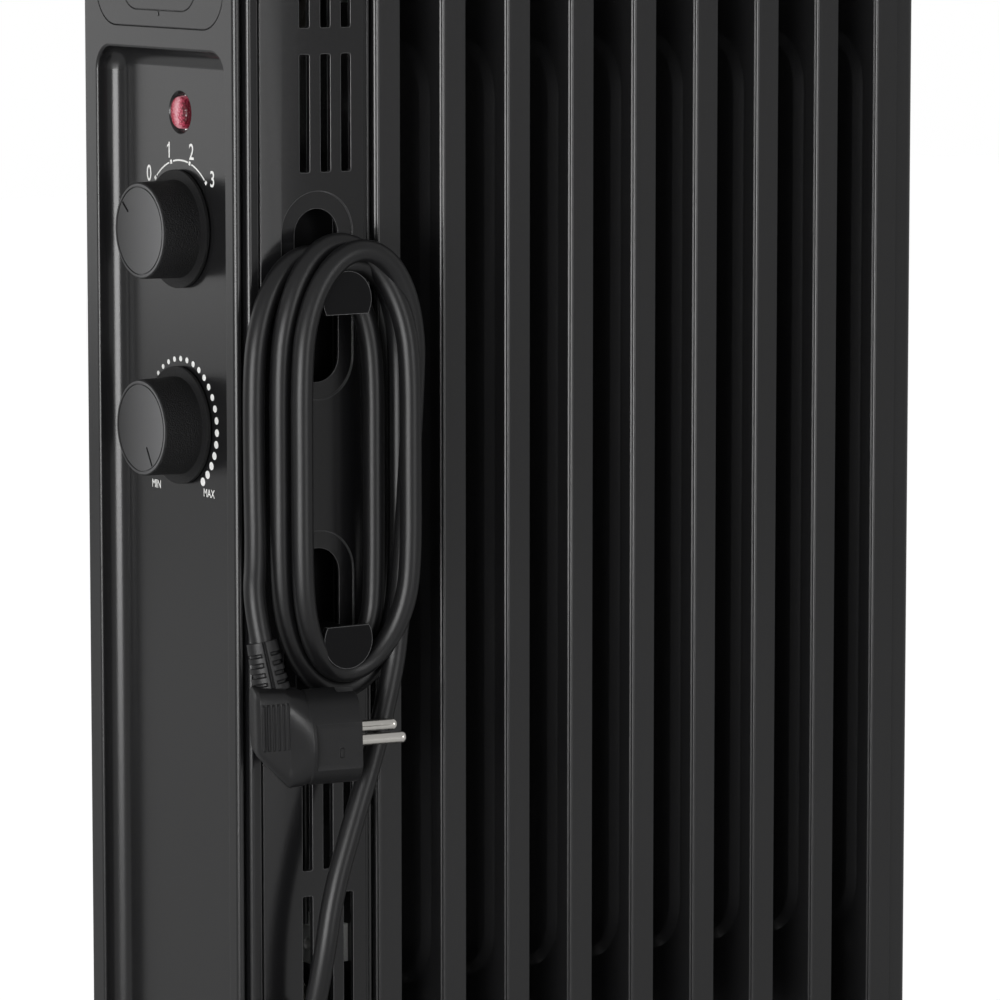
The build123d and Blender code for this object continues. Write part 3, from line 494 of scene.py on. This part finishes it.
def new_piece(name, verts, faces, smooth=False):
    """A mesh object from its points and faces."""
    mesh = bpy.data.meshes.new(name)
    mesh.from_pydata([tuple(v) for v in verts], [], faces)
    mesh.validate()
    shape = bmesh.new()
    shape.from_mesh(mesh)
    bmesh.ops.recalc_face_normals(shape, faces=shape.faces)
    shape.to_mesh(mesh)
    shape.free()
    obj = bpy.data.objects.new(name, mesh)
    scene.collection.objects.link(obj)
    for face in mesh.polygons:
        face.use_smooth = smooth
    return obj


def add_dot(verts, faces, radius, angle, middle_z, size):
    """One round printed dot as a flat disc; size is its radius."""
    centre = on_dial(radius, angle, middle_z)
    first = len(verts)
    for step in range(DOT_SIDES):
        turn = 2 * math.pi * step / DOT_SIDES
        verts.append(centre + Vector((0, size * math.cos(turn), size * math.sin(turn))) * MM)
    faces.append(list(range(first, first + DOT_SIDES)))


def add_arc(verts, faces, radius, width, from_angle, to_angle, middle_z):
    """A printed band along part of a circle."""
    steps = max(2, int(abs(to_angle - from_angle) / ARC_STEP))
    for step in range(steps + 1):
        angle = from_angle + (to_angle - from_angle) * step / steps
        verts.append(on_dial(radius - width / 2, angle, middle_z))
        verts.append(on_dial(radius + width / 2, angle, middle_z))
        if step:
            end = len(verts)
            faces.append([end - 4, end - 3, end - 1, end - 2])


verts, faces = [], []
for from_angle, to_angle in ((-42.0, -18.0), (-12.0, 12.0), (18.0, 42.0)):
    add_arc(verts, faces, ARC_RADIUS, ARC_WIDTH, from_angle, to_angle, POWER_Z)
for angle in (-45.0, -15.0, 15.0, 45.0):
    add_arc(verts, faces, ARC_RADIUS, TICK_WIDTH, angle - TICK_HALF, angle + TICK_HALF, POWER_Z)
for number in range(DOTS):
    share = number / (DOTS - 1)
    angle = DOT_START + DOT_SPAN * share
    add_dot(verts, faces, DOT_RADIUS, angle, THERMOSTAT_Z, DOT_SMALLEST + DOT_GROWTH * share)
one = on_dial(FIGURE_RADIUS, ONE_ANGLE, POWER_Z)
first = len(verts)
for left, up in ONE_FLAG:
    verts.append(one + Vector((0, left, up)) * MM)
faces.append(list(range(first, first + len(ONE_FLAG))))
dial_marks = new_piece("dial_marks", verts, faces)
dial_pieces = [dial_marks]


def print_mark(text, radius, angle, middle_z, height, weight):
    """A printed figure or word on the recess floor."""
    data = bpy.data.curves.new("mark_" + text, "FONT")
    data.body = text
    data.size = height * MM * SIZE_PER_HEIGHT
    data.align_x = "CENTER"
    data.align_y = "CENTER"
    data.extrude = MARK_DEPTH * MM
    data.offset = weight * MM
    obj = bpy.data.objects.new("mark_" + text, data)
    scene.collection.objects.link(obj)
    place = on_dial(radius, angle, middle_z)
    turn = Matrix(((0, 0, -1), (-1, 0, 0), (0, 1, 0))).to_4x4()
    obj.matrix_world = Matrix.Translation(place) @ turn @ Matrix.Diagonal((MARK_NARROW, 1, 1, 1))
    dial_pieces.append(obj)


for text, angle in (("0", -49.5), ("1", ONE_ANGLE), ("2", 15.5), ("3", 49.5)):
    print_mark(text, FIGURE_RADIUS, angle, POWER_Z, FIGURE_HEIGHT, FIGURE_WEIGHT)
for text, angle in (("MIN", -WORD_ANGLE), ("MAX", WORD_ANGLE)):
    print_mark(text, WORD_RADIUS, angle, THERMOSTAT_Z, WORD_HEIGHT, WORD_WEIGHT)
for piece in dial_pieces:
    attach(piece, "heater")
    wear(piece, looks["white_plastic"])

# ---------------------------------------------------------------- lamp lens
# (radius, depth behind the recess floor), from the back to the middle of the dome.
LENS_PROFILE = (
    (6.9, 6.0), (6.9, 1.2), (6.6, 0.9), (6.6, -0.4), (6.2, -0.95), (4.8, -1.4), (2.8, -1.75), (0.6, -1.85),
)
LENS_SIDES = 40


def skin(verts, faces, rings):
    """Join rings of points, each with the same count, into one closed skin."""
    first = len(verts)
    count = len(rings[0])
    for ring in rings:
        verts.extend(ring)
    for row in range(len(rings) - 1):
        for step in range(count):
            a = first + row * count + step
            b = first + row * count + (step + 1) % count
            faces.append([a, b, b + count, a + count])
    faces.append(list(range(first, first + count)))
    faces.append(list(range(len(verts) - count, len(verts))))


def turned(profile, middle):
    """Rings of a round piece along X from its profile, about a middle on the recess floor."""
    rings = []
    for radius, depth in profile:
        ring = []
        for step in range(LENS_SIDES):
            turn = 2 * math.pi * step / LENS_SIDES
            offset = Vector((depth, radius * math.cos(turn), radius * math.sin(turn)))
            ring.append((Vector(middle) + offset) * MM)
        rings.append(ring)
    return rings


verts, faces = [], []
skin(verts, faces, turned(LENS_PROFILE, LAMP))
lens_dome = new_piece("lens_dome", verts, faces, smooth=True)
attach(lens_dome, "heater")
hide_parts("indicator_lens")
wear(lens_dome, looks["lens_red"])

# ---------------------------------------------------------------- plug
PLUG = Vector((-153.5, -89.5, 264.0))
PLUG_TURN = math.radians(22.5)      # how far the pins turn outwards from +X
PLUG_RISE = 0.04
PLUG_LEAN = 0.12
plug_w = Vector((math.cos(PLUG_TURN), -math.sin(PLUG_TURN), PLUG_RISE)).normalized()
plug_lean = Vector((-math.sin(PLUG_TURN) * PLUG_LEAN, -math.cos(PLUG_TURN) * PLUG_LEAN, 1.0))
plug_v = plug_w.cross(plug_lean).normalized()
plug_u = plug_v.cross(plug_w)


def plug_point(u, v, w):
    """A point of the plug: u up, v to the near side, w towards its pins."""
    return (PLUG + plug_u * u + plug_v * v + plug_w * w) * MM


PLUG_SIDES = 96
DRUM = 19.4                 # radius of the round front
GUIDE_HALF = 9              # half the height of the guide flats on its sides, and how far out they are
GUIDE_OUT = 16.6
CLIP_HALF = 3.3             # half the width of the earth clips' notches, and how far out their floors are
CLIP_OUT = 16.0


def rounded_section(low, high, half, squareness, w):
    """A ring of the plug's body: a squared-off oval from u = low to u = high."""
    ring = []
    for step in range(PLUG_SIDES):
        angle = 2 * math.pi * step / PLUG_SIDES
        c, t = math.cos(angle), math.sin(angle)
        u = (low + high) / 2 + (high - low) / 2 * math.copysign(abs(c) ** (2 / squareness), c)
        v = half * math.copysign(abs(t) ** (2 / squareness), t)
        ring.append((u, v, w))
    return ring


def drum_section(radius, w, flat, notch):
    """A ring of the round front: guide flats on both sides and notches for the earth clips."""
    ring = []
    for u, v, w in rounded_section(-radius, radius, radius, 2, w):
        if flat and abs(u) < GUIDE_HALF:
            v = math.copysign(min(abs(v), GUIDE_OUT), v)
        if notch and abs(v) < CLIP_HALF:
            u = math.copysign(min(abs(u), CLIP_OUT), u)
        ring.append((u, v, w))
    return ring


HEEL_W = -23.5              # where the cut of the back corner starts, how low, and how steep it is
HEEL_U = -3.0
HEEL_SLOPE = 1.15


def heel(w):
    """The lowest point of the grip: its back corner is cut off at an angle."""
    return max(-DRUM, HEEL_U - (w - HEEL_W) * HEEL_SLOPE)


# The grip's rings: w, how far the ring is lifted off the heel, its top and its half thickness.
GRIP_SQUARENESS = 5
GRIP = (
    (-22.0, 0.6, 20.6, 7.0),
    (-21.4, 0.0, 21.6, 8.6),
    (-20.2, 0.0, 22.2, 9.8),
    (-16.0, 0.0, 22.2, 10.6),
    (-10.0, 0.0, 21.8, 10.8),
    (-8.6, 0.0, 21.0, 11.0),
)
# The thumb faces between grip and drum: top, half thickness, squareness and w.
SHOULDER = ((20.4, 12.4, 3.6, -7.2), (19.8, 16.0, 2.6, -3.6))
# The drum's rings: how far inside its radius, w, and whether it has guide flats and clip notches.
DRUM_RINGS = (
    (0.5, -1.0, False, False),
    (0.0, -0.3, False, False),
    (0.0, 1.0, False, False),
    (0.0, 1.3, True, False),
    (0.0, 12.0, True, False),
    (0.0, 12.3, True, True),
    (0.0, 19.2, True, True),
    (0.7, 20.0, True, True),
)
rings = [rounded_section(heel(w) + lift, top, half, GRIP_SQUARENESS, w) for w, lift, top, half in GRIP]
rings += [rounded_section(-DRUM, top, half, squareness, w) for top, half, squareness, w in SHOULDER]
rings += [drum_section(DRUM - inset, w, flat, notch) for inset, w, flat, notch in DRUM_RINGS]
verts, faces = [], []
skin(verts, faces, [[plug_point(*p) for p in ring] for ring in rings])


BAR_ROOT = 0.6              # how deep a rib's root is inside the body
BAR_CROWN = 0.6             # a rib's crown is this share of its width
BAR_RUN_OUT = 0.7           # length of its sloping ends
GRIP_BARS = 6
GRIP_BAR_START = -19.2
GRIP_BAR_PITCH = 2.0


def add_bar(low, high, v, w, width, proud):
    """An upright rib on one side of the plug, with sloping edges and ends."""
    side = math.copysign(1, v)
    root = v - side * BAR_ROOT
    rings = []
    for u, raised in ((low, 0.0), (low + BAR_RUN_OUT, 1.0), (high - BAR_RUN_OUT, 1.0), (high, 0.0)):
        outer = v + side * proud * raised
        rings.append([
            plug_point(u, root, w - width / 2),
            plug_point(u, outer, w - width / 2 * BAR_CROWN),
            plug_point(u, outer, w + width / 2 * BAR_CROWN),
            plug_point(u, root, w + width / 2),
        ])
    skin(verts, faces, rings)


for side in (-1, 1):
    for number in range(GRIP_BARS):
        w = GRIP_BAR_START + GRIP_BAR_PITCH * number
        add_bar(max(heel(w) + 3, -2.0), 17.5, side * 10.5, w, 1.2, 0.7)
    add_bar(-5.0, -0.4, side * 16.4, 11.4, 2.0, 0.9)      # the key on the guide flat

RELIEF_RIBS = 6
RELIEF_ROWS = 78
RELIEF_SIDES = 48
RELIEF_HALF = 8.6           # half width at the root, and how much less it is at the tip
RELIEF_TAPER = 2.4
RELIEF_FLATNESS = 0.90      # depth over width
SLOT_START = 6              # the slots start this far along, and leave 2 mm at the tip
SLOT_SHARE = 0.36           # of each rib's pitch
SLOT_WIDTH = 0.86           # width and depth of the ring inside a slot
SLOT_DEPTH = 0.80
SPINE = 0.30                # the slots stop this far from the middle line of each face
GROOVE = 0.10               # half the breadth of the groove on that line, and its depth
GROOVE_DEPTH = 0.74
relief_u = plug_w.cross(RELIEF_WAY).normalized()
relief_w = RELIEF_WAY.cross(relief_u).normalized()
relief_length = (RELIEF_TIP - RELIEF_ROOT).length / MM
rings = []
for row in range(RELIEF_ROWS + 1):
    share = row / RELIEF_ROWS
    along = share * relief_length
    half = RELIEF_HALF - RELIEF_TAPER * share
    phase = (along - SLOT_START) / (relief_length - SLOT_START - 2) * RELIEF_RIBS
    in_slot = 0 < phase < RELIEF_RIBS and phase % 1 < SLOT_SHARE
    ring = []
    for step in range(RELIEF_SIDES):
        angle = 2 * math.pi * step / RELIEF_SIDES
        c, t = math.cos(angle), math.sin(angle)
        cut = in_slot and abs(c) > SPINE
        width = half * (SLOT_WIDTH if cut else 1.0)
        depth = half * (SLOT_DEPTH if cut else RELIEF_FLATNESS)
        if abs(c) < GROOVE:
            depth = half * GROOVE_DEPTH
        offset = relief_w * width * c + relief_u * depth * t
        ring.append(RELIEF_ROOT + RELIEF_WAY * along * MM + offset * MM)
    rings.append(ring)
skin(verts, faces, rings)
plug_shell = new_piece("plug_shell", verts, faces, smooth=True)
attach(plug_shell, "heater")
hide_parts("plug_body")
SHARP_ANGLE = math.radians(28)
plug_look = grained("plug_plastic", (0.006, 0.006, 0.0065), 0.42, scale=1300, bump=0.35, edge=0.4)
dull(plug_look, 0.36)
wear(plug_shell, plug_look)
plug_shell.data.set_sharp_from_angle(angle=SHARP_ANGLE)

# ---------------------------------------------------------------- studio
FLOOR_SIZE = 12
FLOOR_GLOW = 0.65           # seen by the camera only, so the floor is white and lights nothing
WORLD_LIGHT = 0.55          # of the surround, for everything but the camera, which sees plain white

floor_material = grained("studio_floor", (0.80, 0.80, 0.80), 0.6, scale=60, contrast=0.01, bump=0.0)
bpy.ops.mesh.primitive_plane_add(size=FLOOR_SIZE, location=(0, 0, 0))
floor = bpy.context.object
floor.name = "studio_floor"
floor_shader = floor_material.node_tree.nodes["Principled BSDF"]
floor_shader.inputs["Emission Color"].default_value = (1, 1, 1, 1)
floor_nodes = floor_material.node_tree
floor_seen = add(floor_nodes, "ShaderNodeLightPath")
floor_glow = add(floor_nodes, "ShaderNodeMath", operation="MULTIPLY")
floor_nodes.links.new(floor_seen.outputs["Is Camera Ray"], floor_glow.inputs[0])
floor_glow.inputs[1].default_value = FLOOR_GLOW
floor_nodes.links.new(floor_glow.outputs["Value"], floor_shader.inputs["Emission Strength"])
wear(floor, floor_material)

world = bpy.data.worlds.new("studio")
world.use_nodes = True
sky = world.node_tree
backdrop = sky.nodes["Background"]
ambient = add(sky, "ShaderNodeBackground")
ambient.inputs["Strength"].default_value = WORLD_LIGHT
backdrop.inputs["Color"].default_value = (1, 1, 1, 1)
backdrop.inputs["Strength"].default_value = 1.0
seen = add(sky, "ShaderNodeLightPath")
pick = add(sky, "ShaderNodeMixShader")
sky.links.new(seen.outputs["Is Camera Ray"], pick.inputs["Fac"])
sky.links.new(ambient.outputs["Background"], pick.inputs[1])
sky.links.new(backdrop.outputs["Background"], pick.inputs[2])
sky.links.new(pick.outputs["Shader"], sky.nodes["World Output"].inputs["Surface"])
scene.world = world


def area_light(name, place, target, size, power):
    """A soft rectangular light that faces a point."""
    data = bpy.data.lights.new(name, "AREA")
    data.shape = "RECTANGLE"
    data.size, data.size_y = size
    data.energy = power
    light = bpy.data.objects.new(name, data)
    scene.collection.objects.link(light)
    light.location = place
    light.rotation_euler = (Vector(target) - Vector(place)).to_track_quat("-Z", "Y").to_euler()
    return light


middle = (0, 0, 0.38)       # of the heater
area_light("near_left_box", (-1.95, -1.15, 0.22), (0, 0, 0.22), (1.3, 1.0), 40)
area_light("cover_box", (0.32, -2.3, 0.40), middle, (0.9, 1.5), 12)
area_light("panel_box", (-1.4, 2.1, 0.70), middle, (1.6, 1.0), 5)
